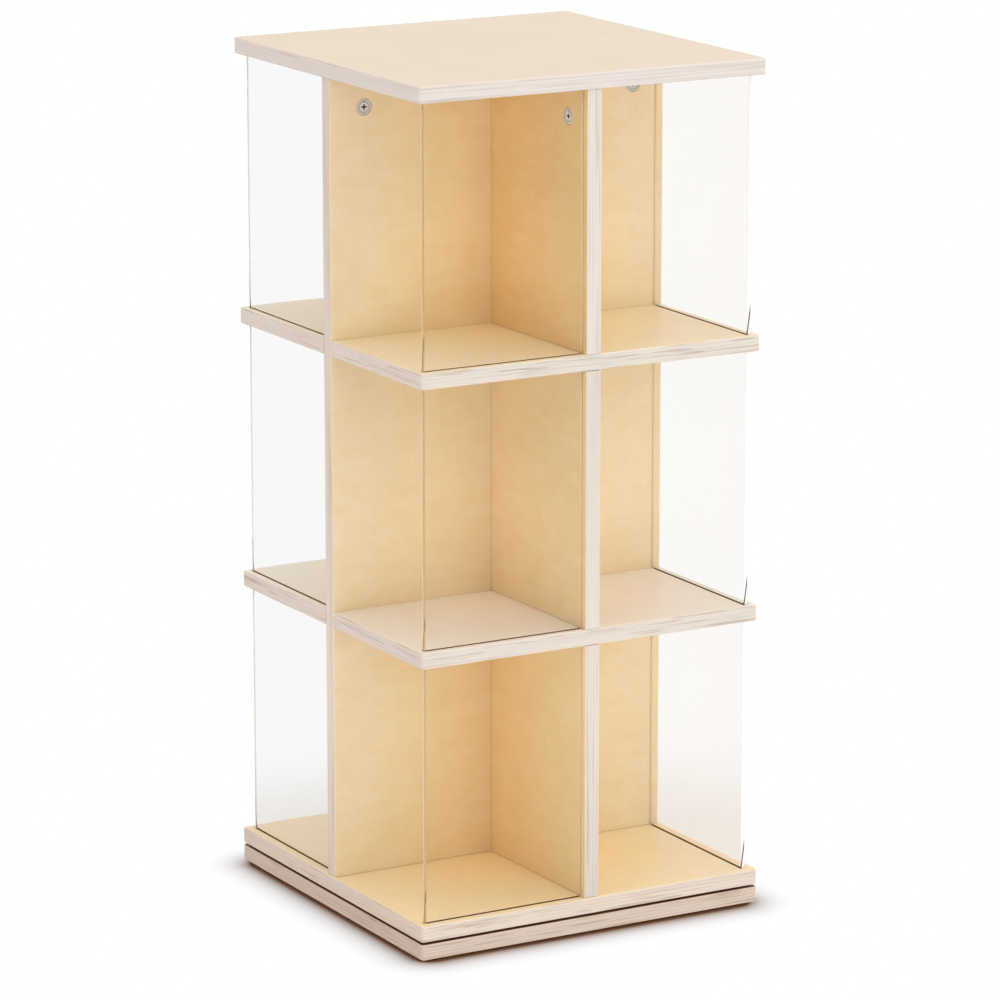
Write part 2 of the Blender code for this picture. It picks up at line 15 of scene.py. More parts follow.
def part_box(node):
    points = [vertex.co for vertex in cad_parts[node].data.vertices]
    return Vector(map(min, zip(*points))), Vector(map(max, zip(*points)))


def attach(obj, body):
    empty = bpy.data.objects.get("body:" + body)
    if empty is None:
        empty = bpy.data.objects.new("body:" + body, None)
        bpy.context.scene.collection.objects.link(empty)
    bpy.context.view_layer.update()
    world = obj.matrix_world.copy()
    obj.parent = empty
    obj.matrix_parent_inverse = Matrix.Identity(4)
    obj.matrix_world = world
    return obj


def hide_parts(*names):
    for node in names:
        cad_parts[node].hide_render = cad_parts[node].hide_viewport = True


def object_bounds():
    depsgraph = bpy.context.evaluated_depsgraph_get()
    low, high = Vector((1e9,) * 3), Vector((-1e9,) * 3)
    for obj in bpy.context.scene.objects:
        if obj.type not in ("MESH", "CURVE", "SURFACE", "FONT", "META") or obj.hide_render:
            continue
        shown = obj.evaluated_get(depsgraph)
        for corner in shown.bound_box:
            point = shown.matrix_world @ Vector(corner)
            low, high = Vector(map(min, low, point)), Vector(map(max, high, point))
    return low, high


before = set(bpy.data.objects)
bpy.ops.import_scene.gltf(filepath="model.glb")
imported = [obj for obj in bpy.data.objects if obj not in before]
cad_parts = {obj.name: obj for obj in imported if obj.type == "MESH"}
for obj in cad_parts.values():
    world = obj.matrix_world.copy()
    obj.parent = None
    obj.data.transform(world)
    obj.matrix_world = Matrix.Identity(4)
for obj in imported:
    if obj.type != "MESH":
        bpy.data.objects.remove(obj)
cad_low, cad_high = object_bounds()

MM = 0.001
UP = Vector((0, 0, 1))

# Camera, set round the middle of the bookcase
CAMERA_AZIMUTH = math.radians(-29.65)
CAMERA_ELEVATION = math.radians(13.34)
CAMERA_DISTANCE = 4.774
CAMERA_LENS = 182.85
SENSOR_WIDTH = 36
AIM_SIDEWAYS = 3.3 * MM
AIM_UP = -26.1 * MM

# Light
LAMP_DISTANCE = 5
LAMP_SIZE = 2.5
LAMPS = {  # azimuth right of the front and elevation, in degrees, and power
    "front_lamp": (0, 15, 55),
    "left_lamp": (-75, 15, 36),
    "right_lamp": (70, 15, 70),
}
ROOM_LEVELS = (0.1, 1.84, 0.0, 1.09)  # from below, from the floor far off, from the walls and from overhead
ROOM_STEPS = ((-0.55, -0.35), (-0.05, 0.05), (0.35, 0.55))  # where each level turns to the next, by height
MIRRORED_LEVELS = (0.65, 1.0)  # of the room and overhead, as polished surfaces show them
MIRRORED_STEP = (-0.05, 0.2)
DARK_SIDE = (math.radians(29.65), math.radians(-13.34))  # azimuth and elevation of the studio's dark side
DARK_SIDE_RIM = (0.6, 0.9)  # cosines of the angle from its middle, between which it sets in
DARK_SIDE_LEVEL = 0.1  # as polished surfaces show it
FLOOR_RADIUS = 0.55
FLOOR_STEPS = 64
FLOOR_COLOR = (0.93, 0.925, 0.92)
FLOOR_SHADE = (0.24, 0.125, 0.08)  # painted shadow, as the camera sees it close to the base, on top of the real shade
FLOOR_FADE = 15 * MM  # distance over which most of that shade is lost
FLOOR_TAIL = 0.06  # share of the shade below which it ends
FLOOR_ROUND = 20 * MM  # radius of the shade's corners
FLOOR_WHITE_THROUGH = (0.08, 0.32)  # from the base, where the floor turns to plain white behind the panes
FLOOR_WHITE_MIRRORED = (0, 0.3)  # the same in reflections

# Plywood
PLIES = 9
LONG_GRAIN = (0.8, 0.735, 0.68)
END_GRAIN = (0.73, 0.655, 0.6)
GLUE_LINE = (0.55, 0.44, 0.37)
PORE_COLOR = (0.55, 0.37, 0.18)
END_STAIN = (0.72, 0.5, 0.38)
DASH_COLOR = (0.4, 0.29, 0.21)
END_STAIN_SHARE = 0.2
JOINT_SHADE = (0.2, 0.078, 0.012)
JOINT_DEPTH = (0.05 * MM, 0.25 * MM)  # below a board's faces, where its joints begin
OUTSIDE = (174.5 * MM, 175.5 * MM)  # from the axis, where sawn faces are outer edges and no longer joints
# painted shade: the faces in the gap between base and deck are coloured dark for the shade between them
PAINTED_GAP_SHADE = (0.22, 0.075, 0.025)
GAP_SIDES = {"base_panel": 1, "deck_panel": -1}  # the faces that turn past each other
VENEERS = {  # by words in a board's name, of which the first that fits counts
    "top_panel": (0.84, 0.69, 0.51),
    "upper_shelf_back": (0.97, 0.86, 0.66),
    "upper_shelf": (0.95, 0.81, 0.57),
    "lower_shelf_back": (0.97, 0.87, 0.73),
    "lower_shelf": (0.87, 0.782, 0.685),
    "deck_panel": (0.92, 0.74, 0.47),
    "divider_top": (0.8, 0.557, 0.275),
    "divider_middle": (0.83, 0.625, 0.365),
    "divider_bottom": (0.845, 0.63, 0.345),
    "main_divider": (0.835, 0.667, 0.422),
}
COMMON_VENEER = (0.84, 0.66, 0.4)
AXIS_PAINTED_LIGHT = (1.09, 1.07, 1.06)  # painted light: the veneer's share of its colour near the axis
AXIS_REACH = (30 * MM, 150 * MM)
TIER_PAINTED_LIGHT = (1.08, 1.02, 0.875)  # painted light, the same in the upper and lower tiers
PAINTED_LIGHT_TIERS = (110 * MM, 150 * MM)  # from half height, where that painted light begins
UPRIGHT_LIGHT_SHARE = (0.935, 0.925, 0.92)  # what is left of both painted lights on the dividers
PAINTED_TOP_LIGHT = (690 * MM, 760 * MM)  # height over which the dividers grow paler: painted light near their tops
TOP_LIGHT_SHARE = 1.07
PALEST = 0.98  # the most light that a tinted veneer gives back
FIGURE = 0.1  # how far the veneer's colour strays to each side
PATTERNS = {  # noise cells per metre along the grain, across it and through the board, detail and roughness
    "contour": (2.2, 8, 60, 1.5, 0.5),
    "curl": (30, 6, 40, 2.5, 0.5),
    "cloud": (7, 10, 30, 1, 0.5),
    "flecks": (85, 40, 60, 3, 0.6),
    "fibre": (16, 480, 480, 3, 0.6),
    "pores": (90, 1700, 1700, 1, 0.5),
    "streaks": (30, 30, 900, 3, 0.65),
    "patches": (9, 9, 330, 1, 0.5),
    "dashes": (20, 20, 760, 1, 0.5),
    "fade": (9, 9, 160, 1, 0.5),
}
SPREADS = {  # noise values between which a pattern sets in, and its shares there
    "pores": (0.62, 0.74, 0, 1),
    "streaks": (0.45, 0.8, 0, 0.4),
    "patches": (0.58, 0.76, 0, 0.5),
    "dashes": (0.6, 0.7, 0, 0.5),
    "fade": (0.3, 0.7, 0.2, 1),
}
TONE_SHARES = {"curl": 0.8, "cloud": 0.8, "flecks": 2.4, "fibre": 0.35}  # in the veneer's tone
RING_COUNT = 60
RING_SHARE = 0.06
PORE_SHARE = 0.12
GLUE_SPREAD = (0.42, 0.5, 0, 0.32)  # from a ply's middle, where the glue line begins and ends, and its shares there
FACE_TURN = (0.55, 0.85)  # between an edge and a face, by the normal
GAP_TURN = (0.3, 0.8)
END_TURN = 0.7
LACQUER_IOR = 1.5
LACQUER_SPECULAR = 0.5
LACQUER_ROUGHNESS = 0.3
FIBRE_ROUGHNESS = 0.16  # what the fibres add to it
EDGE_ROUGHNESS = 0.55
FIBRE_RELIEF = 0.6
PORE_RELIEF = 0.8
RELIEF_STRENGTH = 0.2
RELIEF_HEIGHT = 0.05 * MM
EDGE_TINTS = {  # the same for its edges, as shares of their colours; the lower boards' edges are mostly darker, which is painted shade
    "top_panel": (0.98, 0.97, 0.975),
    "upper_shelf": (0.96, 0.94, 0.9),
    "lower_shelf": (0.9, 0.877, 0.845),
    "deck_panel": (1.0, 0.95, 0.89),
    "base_panel": (0.9, 0.81, 0.74),
    "divider_top": (0.98, 0.97, 0.94),
    "divider_middle": (0.92, 0.9, 0.87),
    "divider_bottom": (0.89, 0.86, 0.83),
    "main_divider": (0.94, 0.86, 0.78),
}

# Panes
ACRYLIC_IOR = 1.49
CLEAR, FREE_END, INNER_END, SAWN_EDGE = range(4)  # a pane's materials
FREE_TURN = 0.1  # the least turn outwards of a face on the free end, by the normal
INNER_TURN = -0.3
SAWN_TURN = 0.5
PANE_ROUND = 1.2 * MM
PANE_ROUND_STEPS = 5
PANE_ROUND_LEAST = 100 * MM  # length of the shortest edge that is rounded
PANE_CHAMFER = 0.3 * MM
PANE_FOOT = 30 * MM  # height of the painted slanting line for the groove below, as it would show in a free end
PANE_FOOT_WIDTH = (0.12, 0.24)  # from the line's middle, where it fades, as shares of the pane's thickness
PANE_END_STEP = (0.2, 0.6)  # of the thickness, where a free end turns from its inner to its outer colour

# Cam locks, measured from the middle of the face
BRIGHT, LOW, RECESS = range(3)  # a cam's materials: plain nickel, and darker copies that paint shade in the trough and the recesses
CAM_STEPS = 64
CAM_RIM = 0.5 * MM
CAM_RING = 1.3 * MM  # width of the outer ring
CAM_HUB_RADIUS = 4.2 * MM
CAM_TROUGH_DEPTH = 0.4 * MM
CAM_CROSS_LENGTH = 6 * MM
CAM_CROSS_WIDTH = 1.5 * MM
CAM_CROSS_DEPTH = 2.2 * MM
CAM_CROSS_TAPER = 0.55
CAM_MARK_SIZE = 1.1 * MM
CAM_MARK_DEPTH = 0.5 * MM
CAM_FACINGS = {"cam_left": (0, -1, 0), "cam_right": (0, -1, 0), "cam_front": (-1, 0, 0), "cam_back": (1, 0, 0)}
SHARP_ANGLE = math.radians(35)


class Graph:
    """Adds nodes to one node tree and links them."""

    def __init__(self, tree):
        self.tree = tree

    def feed(self, socket, value):
        if isinstance(value, bpy.types.NodeSocket):
            self.tree.links.new(value, socket)
        elif isinstance(value, tuple) and len(value) == 3 and socket.type == "RGBA":
            socket.default_value = (*value, 1)
        else:
            socket.default_value = value

    def add(self, kind, inputs, **settings):
        node = self.tree.nodes.new(kind)
        for name, value in settings.items():
            setattr(node, name, value)
        for key, value in inputs.items():
            self.feed(node.inputs[key], value)
        return node

    def math(self, operation, *values):
        return self.add("ShaderNodeMath", dict(enumerate(values)), operation=operation).outputs[0]

    def ramp(self, value, low, high, to_low=0.0, to_high=1.0):
        """A smooth step of value from low to high."""
        inputs = {"Value": value, "From Min": low, "From Max": high, "To Min": to_low, "To Max": to_high}
        return self.add("ShaderNodeMapRange", inputs, interpolation_type="SMOOTHSTEP").outputs[0]

    def mix(self, factor, first, second):
        return self.add("ShaderNodeMix", {0: factor, 6: first, 7: second}, data_type="RGBA").outputs[2]

    def blend(self, factor, first, second):
        return self.add("ShaderNodeMix", {0: factor, 2: first, 3: second}).outputs[0]

    def vector(self, *values):
        return self.add("ShaderNodeCombineXYZ", dict(enumerate(values))).outputs[0]

    def split(self, vector):
        return self.add("ShaderNodeSeparateXYZ", {0: vector}).outputs

    def noise(self, vector, scale=1.0, detail=2.0, roughness=0.5):
        inputs = {"Vector": vector, "Scale": scale, "Detail": detail, "Roughness": roughness}
        return self.add("ShaderNodeTexNoise", inputs).outputs[0]

    def bump(self, height, strength, distance):
        inputs = {"Height": height, "Strength": strength, "Distance": distance}
        return self.add("ShaderNodeBump", inputs).outputs[0]

    def place(self):
        return self.add("ShaderNodeTexCoord", {}).outputs["Object"]


def new_material(name):
    """A material with its node graph and its Principled shader."""
    material = bpy.data.materials.new(name)
    material.use_nodes = True
    return material, Graph(material.node_tree), material.node_tree.nodes["Principled BSDF"]


# Materials


def plywood(name, grain):
    """Birch plywood for one board, whose face veneers have their grain along one axis."""
    low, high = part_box(name)
    extent = high - low
    through = min(range(3), key=lambda axis: extent[axis])
    across = 3 - through - grain
    material, graph, shader = new_material(f"plywood_{name}")
    coordinates = graph.add("ShaderNodeTexCoord", {})
    place = graph.split(coordinates.outputs["Object"])
    normal = graph.split(coordinates.outputs["Normal"])

    def pattern(kind):
        *cells, detail, roughness = PATTERNS[kind]
        scaled = [None, None, None]
        for axis, scale in zip((grain, across, through), cells):
            scaled[axis] = graph.math("MULTIPLY", place[axis], scale)
        return graph.noise(graph.vector(*scaled), detail=detail, roughness=roughness)

    def spread(kind):
        return graph.ramp(pattern(kind), *SPREADS[kind])

    def off_middle(value):
        return graph.math("SUBTRACT", value, 0.5)

    def own(colors, common):
        return next((color for part, color in colors.items() if part in name), common)

    def tinted(color, *tints):
        return tuple(min(math.prod(channels), PALEST) for channels in zip(color, *tints))

    reach = graph.math("MAXIMUM", graph.math("ABSOLUTE", place[0]), graph.math("ABSOLUTE", place[1]))
    is_face = graph.ramp(graph.math("ABSOLUTE", normal[through]), *FACE_TURN)

    # Veneer: contours of the growth rings, curl across the grain, clouds, flecks, fibres and pores
    # Painted light: near the axis the veneer is lighter in the middle tier and warmer in the upper and lower tiers
    from_half = graph.math("ABSOLUTE", graph.math("SUBTRACT", place[2], (cad_low.z + cad_high.z) / 2))
    near_axis = graph.ramp(reach, *AXIS_REACH, 1, 0)
    tier_light = graph.ramp(from_half, *PAINTED_LIGHT_TIERS)
    weaker = UPRIGHT_LIGHT_SHARE if "divider" in name else (1, 1, 1)

    def with_painted_light(color):
        near = graph.mix(tier_light, tinted(color, AXIS_PAINTED_LIGHT, weaker), tinted(color, TIER_PAINTED_LIGHT, weaker))
        return graph.mix(near_axis, color, near)

    middle = own(VENEERS, COMMON_VENEER)
    dark, light = (tuple(channel ** power for channel in middle) for power in (1 + FIGURE, 1 - FIGURE))
    patterns = {kind: pattern(kind) for kind in TONE_SHARES if (name, kind) != ("top_panel", "flecks")}
    # every board but the top takes that painted light
    if name != "top_panel":
        dark, light = with_painted_light(dark), with_painted_light(light)
    rings = graph.math("SINE", graph.math("MULTIPLY", pattern("contour"), RING_COUNT))
    tone = graph.math("MULTIPLY_ADD", rings, RING_SHARE, 0.5)
    for kind, values in patterns.items():
        tone = graph.math("MULTIPLY_ADD", off_middle(values), TONE_SHARES[kind], tone)
    fibre = patterns["fibre"]
    pores = spread("pores")
    veneer = graph.mix(tone, dark, light)
    veneer = graph.mix(graph.math("MULTIPLY", pores, PORE_SHARE), veneer, PORE_COLOR)
    # painted light: the dividers grow paler near their tops
    if "divider" in name:
        pale = graph.ramp(place[2], *PAINTED_TOP_LIGHT, 1, TOP_LIGHT_SHARE)
        veneer = graph.add("ShaderNodeVectorMath", {0: veneer, "Scale": pale}, operation="SCALE").outputs["Vector"]
    # painted shade in the gap between the deck and the base
    if name in GAP_SIDES:
        in_gap = graph.ramp(graph.math("MULTIPLY", normal[through], GAP_SIDES[name]), *GAP_TURN)
        veneer = graph.mix(in_gap, veneer, PAINTED_GAP_SHADE)

    # Edge: plies that show long grain and end grain in turn, with thin glue lines
    # edge colours by board, mostly darker on the lower boards: painted shade
    tint = own(EDGE_TINTS, (1, 1, 1))
    long_grain, end_grain, glue_line = (tinted(color, tint) for color in (LONG_GRAIN, END_GRAIN, GLUE_LINE))
    depth = graph.math("SUBTRACT", place[through], low[through])
    ply = graph.math("MULTIPLY", depth, PLIES / extent[through])
    is_odd = graph.math("GREATER_THAN", graph.math("FRACT", graph.math("MULTIPLY", ply, 0.5)), 0.5)
    is_cut_across = graph.math("GREATER_THAN", graph.math("ABSOLUTE", normal[grain]), END_TURN)
    shows_end = graph.math("ABSOLUTE", graph.math("SUBTRACT", is_odd, is_cut_across))
    fade = spread("fade")
    edge = graph.mix(graph.math("MULTIPLY", shows_end, fade), long_grain, end_grain)
    edge = graph.mix(graph.math("MULTIPLY", is_cut_across, END_STAIN_SHARE), edge, tinted(END_STAIN, tint))
    edge = graph.mix(spread("streaks"), edge, end_grain)
    edge = graph.mix(spread("patches"), edge, glue_line)
    if "shelf" in name or name in GAP_SIDES:
        edge = graph.mix(spread("dashes"), edge, tinted(DASH_COLOR, tint))
    from_ply_middle = graph.math("ABSOLUTE", off_middle(graph.math("FRACT", ply)))
    glue = graph.math("MULTIPLY", graph.ramp(from_ply_middle, *GLUE_SPREAD), fade)
    edge = graph.mix(glue, edge, glue_line)

    # Joints: grooves, holes and ends inside the tower, which get little light
    below_face = graph.math("MINIMUM", depth, graph.math("SUBTRACT", extent[through], depth))
    is_inside = graph.ramp(reach, *OUTSIDE, 1, 0)
    in_joint = graph.math("MULTIPLY", graph.ramp(below_face, *JOINT_DEPTH), is_inside)

    shader.inputs["IOR"].default_value = LACQUER_IOR
    graph.feed(shader.inputs["Specular IOR Level"], graph.blend(in_joint, LACQUER_SPECULAR, 0.0))
    graph.feed(shader.inputs["Base Color"], graph.mix(in_joint, graph.mix(is_face, edge, veneer), JOINT_SHADE))
    lacquer = graph.math("MULTIPLY_ADD", fibre, FIBRE_ROUGHNESS, LACQUER_ROUGHNESS)
    graph.feed(shader.inputs["Roughness"], graph.blend(is_face, EDGE_ROUGHNESS, lacquer))
    raised = graph.math("MULTIPLY", fibre, FIBRE_RELIEF)
    relief = graph.math("SUBTRACT", raised, graph.math("MULTIPLY", pores, PORE_RELIEF))
    graph.feed(shader.inputs["Normal"], graph.bump(relief, RELIEF_STRENGTH, RELIEF_HEIGHT))
    return material


def clear_acrylic():
    """Cast clear sheet, with its slight waviness. Light from the lamps passes straight through it."""
    material, graph, shader = new_material("clear_acrylic")
    waves = graph.noise(graph.place(), scale=9, detail=1)
    shader.inputs["Base Color"].default_value = (0.977, 0.98, 0.978, 1)
    shader.inputs["Specular Tint"].default_value = (0, 0, 0, 1)
    shader.inputs["Roughness"].default_value = 0
    shader.inputs["IOR"].default_value = ACRYLIC_IOR
    shader.inputs["Transmission Weight"].default_value = 1
    graph.feed(shader.inputs["Normal"], graph.bump(waves, 0.1, 0.2 * MM))
    path = graph.add("ShaderNodeLightPath", {})
    passes = graph.math("MAXIMUM", path.outputs["Is Shadow Ray"], path.outputs["Is Diffuse Ray"])
    through = graph.add("ShaderNodeBsdfTransparent", {"Color": (0.97, 0.975, 0.972)})
    mixed = graph.add("ShaderNodeMixShader", {0: passes, 1: shader.outputs[0], 2: through.outputs[0]})
    graph.feed(material.node_tree.nodes["Material Output"].inputs["Surface"], mixed.outputs[0])
    return material


def satin_acrylic(name, thick, inner, outer, foot):
    """The sanded end of a pane thick along one axis, with a painted slanting line at its foot for the groove below.
    """
    material, graph, shader = new_material(name)
    place = graph.place()
    along = graph.add("ShaderNodeMapping", {"Vector": place, "Scale": (2500, 2500, 60)}).outputs[0]
    scratches = graph.noise(along, detail=2)
    low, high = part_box("back_pane_bottom")
    axes = graph.split(place)
    depth = graph.math("SUBTRACT", graph.math("ABSOLUTE", axes[thick]), low.y)
    depth = graph.math("DIVIDE", depth, high.y - low.y)
    color = graph.mix(graph.ramp(depth, *PANE_END_STEP), inner, outer)
    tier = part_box("back_pane_middle")[0].z - low.z
    above_foot = graph.math("FLOORED_MODULO", graph.math("SUBTRACT", axes[2], low.z), tier)
    from_line = graph.math("ABSOLUTE", graph.math("SUBTRACT", depth, graph.math("DIVIDE", above_foot, PANE_FOOT)))
    color = graph.mix(graph.ramp(from_line, *PANE_FOOT_WIDTH), foot, color)
    worn = graph.math("MULTIPLY", scratches, 0.08)
    graph.feed(shader.inputs["Base Color"], graph.mix(worn, color, (1, 1, 1)))
    graph.feed(shader.inputs["Roughness"], graph.ramp(scratches, 0.3, 0.7, 0.35, 0.55))
    shader.inputs["IOR"].default_value = ACRYLIC_IOR
    graph.feed(shader.inputs["Normal"], graph.bump(scratches, 0.15, 0.03 * MM))
    return material


def plated_metal(name, dark, light, roughness_low, roughness_high, metallic=1.0):
    """Plated metal with a cloudy finish."""
    material, graph, shader = new_material(name)
    clouds = graph.noise(graph.place(), scale=260, detail=4, roughness=0.6)
    grains = graph.noise(graph.place(), scale=2400, detail=2)
    graph.feed(shader.inputs["Base Color"], graph.mix(clouds, dark, light))
    shader.inputs["Metallic"].default_value = metallic
    graph.feed(shader.inputs["Roughness"], graph.ramp(clouds, 0.3, 0.7, roughness_low, roughness_high))
    graph.feed(shader.inputs["Normal"], graph.bump(grains, 0.2, 0.02 * MM))
    return material


def black_nylon():
    material, graph, shader = new_material("black_nylon")
    pits = graph.noise(graph.place(), scale=1800, detail=2)
    scuffs = graph.noise(graph.place(), scale=130, detail=4)
    graph.feed(shader.inputs["Base Color"], graph.mix(scuffs, (0.02, 0.02, 0.021), (0.05, 0.049, 0.047)))
    graph.feed(shader.inputs["Roughness"], graph.ramp(scuffs, 0.3, 0.7, 0.42, 0.62))
    graph.feed(shader.inputs["Normal"], graph.bump(pits, 0.3, 0.03 * MM))
    return material


def beech():
    material, graph, shader = new_material("beech_dowel")
    flecks = graph.noise(graph.place(), scale=700, detail=3)
    graph.feed(shader.inputs["Base Color"], graph.mix(flecks, (0.58, 0.38, 0.22), (0.72, 0.52, 0.33)))
    graph.feed(shader.inputs["Roughness"], graph.ramp(flecks, 0.3, 0.7, 0.55, 0.75))
    graph.feed(shader.inputs["Normal"], graph.bump(flecks, 0.2, 0.05 * MM))
    return material


def dress(names, material):
    for name in names:
        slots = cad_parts[name].data.materials
        slots.clear()
        slots.append(material)


def dress_boards():
    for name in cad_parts:
        if name.endswith(("_panel", "_shelf_front", "_shelf_back")):
            dress([name], plywood(name, 0))
        elif "_divider" in name:
            dress([name], plywood(name, 2))


def dress_fittings():
    steel = plated_metal("zinc_plated_steel", (0.5, 0.51, 0.53), (0.72, 0.72, 0.7), 0.18, 0.36)
    finishes = {
        ("cam_bolt", "deck_screw", "bearing", "ball"): steel,
        ("glide",): black_nylon(),
        ("lower_level_dowel", "upper_level_dowel", "lower_upright_dowel", "upper_upright_dowel"): beech(),
    }
    for starts, material in finishes.items():
        dress([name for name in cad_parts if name.startswith(starts)], material)


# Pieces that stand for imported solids


def add_piece(name, mesh, node, slot, *materials):
    """Puts a mesh, already in place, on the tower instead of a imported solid."""
    for material in materials:
        mesh.materials.append(material)
    piece = bpy.data.objects.new(name, mesh)
    bpy.context.collection.objects.link(piece)
    dress([node], materials[0])
    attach(piece, "tower")
    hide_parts(node)


def add_box(solid, low, high):
    for corner in bmesh.ops.create_cube(solid, size=1)["verts"]:
        corner.co = [high[axis] if corner.co[axis] > 0 else low[axis] for axis in range(3)]


def build_pane(node, clear, free, inner, hidden):
    """A clear pane with sanded ends, the free one rounded, small chamfers, and sawn edges in its grooves."""
    low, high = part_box(node)
    extent = high - low
    thick, wide = sorted((0, 1), key=lambda axis: extent[axis])
    outward = 1 if high[wide] + low[wide] > 0 else -1
    free_end = max(outward * low[wide], outward * high[wide])
    solid = bmesh.new()
    add_box(solid, low, high)

    def is_free(edge):
        return all(abs(outward * corner.co[wide] - free_end) < MM for corner in edge.verts)

    def is_upright(edge):
        return abs(edge.verts[0].co.z - edge.verts[1].co.z) > MM

    chamfers = [edge for edge in solid.edges if not is_free(edge)]
    bmesh.ops.bevel(solid, geom=chamfers, offset=PANE_CHAMFER, segments=1, affect="EDGES")
    upright = [edge for edge in solid.edges if is_free(edge) and is_upright(edge)]
    rounds = [edge for edge in upright if edge.calc_length() > PANE_ROUND_LEAST]
    bmesh.ops.bevel(solid, geom=rounds, offset=PANE_ROUND, segments=PANE_ROUND_STEPS, profile=0.5, affect="EDGES")
    solid.normal_update()
    for face in solid.faces:
        turned = outward * face.normal[wide]
        if turned > FREE_TURN:
            face.material_index = FREE_END
        elif turned < INNER_TURN:
            face.material_index = INNER_END
        elif abs(face.normal.z) > SAWN_TURN:
            face.material_index = SAWN_EDGE
        else:
            face.material_index = CLEAR
        face.smooth = face.material_index == FREE_END
    mesh = bpy.data.meshes.new(node)
    solid.to_mesh(mesh)
    solid.free()
    mesh.set_sharp_from_angle(angle=SHARP_ANGLE)
    add_piece(f"clear_{node}", mesh, node, "clear_acrylic", clear, free, inner, hidden)


def turned_mesh(profile, steps):
    """A closed solid turned about Z from (radius, height) points that start and end on the axis."""
    solid = bmesh.new()
    angles = [2 * math.pi * step / steps for step in range(steps)]
    rings = []
    for radius, height in profile:
        if radius == 0:
            rings.append([solid.verts.new((0, 0, height))] * steps)
        else:
            rings.append([solid.verts.new((radius * math.cos(a), radius * math.sin(a), height)) for a in angles])
    for inner, outer in zip(rings, rings[1:]):
        for step in range(steps):
            after = (step + 1) % steps
            corners = [inner[step], inner[after], outer[after], outer[step]]
            solid.faces.new(list(dict.fromkeys(corners)))
    bmesh.ops.recalc_face_normals(solid, faces=solid.faces[:])
    return solid


def add_prism(solid, outline, low, high, taper=1.0):
    """Adds a closed prism over an outline, whose lower end is smaller by the taper."""
    lower = [solid.verts.new((x * taper, y * taper, low)) for x, y in outline]
    upper = [solid.verts.new((x, y, high)) for x, y in outline]
    solid.faces.new(lower[::-1])
    solid.faces.new(upper)
    for step in range(len(outline)):
        after = (step + 1) % len(outline)
        solid.faces.new((lower[step], lower[after], upper[after], upper[step]))


def cut(body, tool, name):
    """The mesh of one solid with another cut out of it."""
    objects = []
    for solid in (body, tool):
        mesh = bpy.data.meshes.new(name)
        solid.to_mesh(mesh)
        solid.free()
        objects.append(bpy.data.objects.new(name, mesh))
        bpy.context.collection.objects.link(objects[-1])
    boolean = objects[0].modifiers.new("cut", "BOOLEAN")
    boolean.operation = "DIFFERENCE"
    boolean.solver = "EXACT"
    boolean.object = objects[1]
    evaluated = objects[0].evaluated_get(bpy.context.evaluated_depsgraph_get())
    result = bpy.data.meshes.new_from_object(evaluated)
    for old in objects:
        bpy.data.objects.remove(old)
    return result


def build_cam(node, facing, nickel, trough_shade, recess):
    """A cam lock: outer ring, trough and hub, a tapered cross recess and a mark towards the bolt."""
    low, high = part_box(node)
    middle = (low + high) / 2
    facing = Vector(facing)
    depth = abs((high - low).dot(facing))
    radius = (high.z - low.z) / 2
    ring = radius - CAM_RING
    profile = [
        (0, -depth), (radius, -depth), (radius, -CAM_RIM), (radius - CAM_RIM / 3, -CAM_RIM / 3),
        (radius - CAM_RIM, 0), (ring, 0), (ring - CAM_TROUGH_DEPTH, -CAM_TROUGH_DEPTH),
        (CAM_HUB_RADIUS + CAM_TROUGH_DEPTH, -CAM_TROUGH_DEPTH), (CAM_HUB_RADIUS, 0), (0, 0),
    ]
    reach = CAM_CROSS_LENGTH / 2
    half = CAM_CROSS_WIDTH / 2
    cross = [
        (reach, -half), (reach, half), (half, half), (half, reach), (-half, reach), (-half, half),
        (-reach, half), (-reach, -half), (-half, -half), (-half, -reach), (half, -reach), (half, -half),
    ]
    mark_low = CAM_HUB_RADIUS + CAM_TROUGH_DEPTH
    mark = [(-CAM_MARK_SIZE, mark_low), (CAM_MARK_SIZE, mark_low), (0, mark_low + 1.6 * CAM_MARK_SIZE)]
    tool = bmesh.new()
    add_prism(tool, cross, -CAM_CROSS_DEPTH, CAM_CROSS_DEPTH / 10, CAM_CROSS_TAPER)
    add_prism(tool, mark, -CAM_TROUGH_DEPTH - CAM_MARK_DEPTH, MM)
    mesh = cut(turned_mesh(profile, CAM_STEPS), tool, node)
    # faces sunk below the face take painted shade, the cross and the mark a darker one
    for face in mesh.polygons:
        under = -face.center.z
        is_mark = CAM_TROUGH_DEPTH * 1.2 < under < CAM_CROSS_DEPTH * 1.1
        is_cross = face.center.xy.length < CAM_CROSS_LENGTH * 0.55 and 0.1 * CAM_RIM < under < CAM_CROSS_DEPTH * 1.1
        is_low = under > 0.1 * CAM_TROUGH_DEPTH
        face.material_index = RECESS if is_mark or is_cross else LOW if is_low else BRIGHT
    side = UP.cross(facing)
    turn = Matrix((side, UP, facing)).transposed().to_4x4()
    mesh.transform(Matrix.Translation(middle + facing * depth / 2) @ turn)
    mesh.shade_smooth()
    mesh.set_sharp_from_angle(angle=SHARP_ANGLE)
    add_piece(f"face_{node}", mesh, node, "nickel_plated_zinc", nickel, trough_shade, recess)


